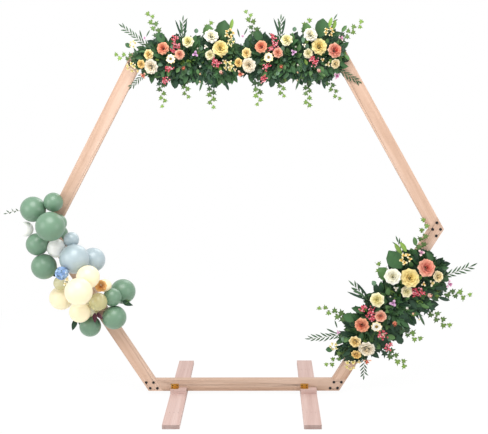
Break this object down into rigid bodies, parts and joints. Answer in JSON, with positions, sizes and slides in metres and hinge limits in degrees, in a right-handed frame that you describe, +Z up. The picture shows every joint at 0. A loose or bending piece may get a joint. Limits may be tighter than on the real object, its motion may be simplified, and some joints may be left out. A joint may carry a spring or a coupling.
{
  "type": "wedding arch",
  "caption": "Free-standing hexagonal wooden wedding arch on two foot boards, dressed with artificial flower swags and a cluster of balloons.",
  "frame": {"origin": "on the floor, below the middle of the arch and of its feet", "axes": "+X to the right seen from the front, +Y to the rear, +Z up; the front view looks along +Y"},
  "size_m": [2.925, 0.89, 2.4478],
  "materials": {
    "pine": "bare planed softwood",
    "black_steel": "black oxide, satin",
    "pale_pine": "bare planed softwood, paler",
    "brass": "brass plated, satin",
    "leaf_fabric": "matt printed cloth leaves",
    "cream_fabric": "matt cloth petals, white to yellow",
    "coral_fabric": "matt cloth petals, orange to pink",
    "berry_plastic": "satin",
    "sage_latex": "satin latex",
    "blue_grey_latex": "pearl latex",
    "cream_latex": "satin latex",
    "white_latex": "pearl latex",
    "gold_clear_latex": "clear latex with a gold sheen",
    "flower_fabric": "matt cloth petals"
  },
  "bodies": {
    "root": {"board_bottom": "pine", "board_lower_right": "pine", "board_upper_right": "pine", "board_top": "pine", "board_upper_left": "pine", "board_lower_left": "pine", "bolts_bottom_left": "black_steel", "bolts_bottom_right": "black_steel", "bolts_right": "black_steel", "bolts_top_right": "black_steel", "bolts_top_left": "black_steel", "bolts_left": "black_steel", "foot_left": "pale_pine", "foot_right": "pale_pine", "cleats_left": "pale_pine", "cleats_right": "pale_pine", "angle_brackets_left": "brass", "angle_brackets_right": "brass", "bracket_screws_left": "black_steel", "bracket_screws_right": "black_steel", "swag_top_left_core": "leaf_fabric", "swag_top_left_leaves": "leaf_fabric", "swag_top_left_trails": "leaf_fabric", "swag_top_left_pale_blooms": "cream_fabric", "swag_top_left_warm_blooms": "coral_fabric", "swag_top_left_berries": "berry_plastic", "swag_top_right_core": "leaf_fabric", "swag_top_right_leaves": "leaf_fabric", "swag_top_right_trails": "leaf_fabric", "swag_top_right_pale_blooms": "cream_fabric", "swag_top_right_warm_blooms": "coral_fabric", "swag_top_right_berries": "berry_plastic", "swag_side_core": "leaf_fabric", "swag_side_leaves": "leaf_fabric", "swag_side_trails": "leaf_fabric", "swag_side_pale_blooms": "cream_fabric", "swag_side_warm_blooms": "coral_fabric", "swag_side_berries": "berry_plastic", "balloons_green": "sage_latex", "balloons_blue": "blue_grey_latex", "balloons_cream": "cream_latex", "balloons_white": "white_latex", "balloons_clear": "gold_clear_latex", "garland_flowers": "flower_fabric"}
  },
  "joints": []
}
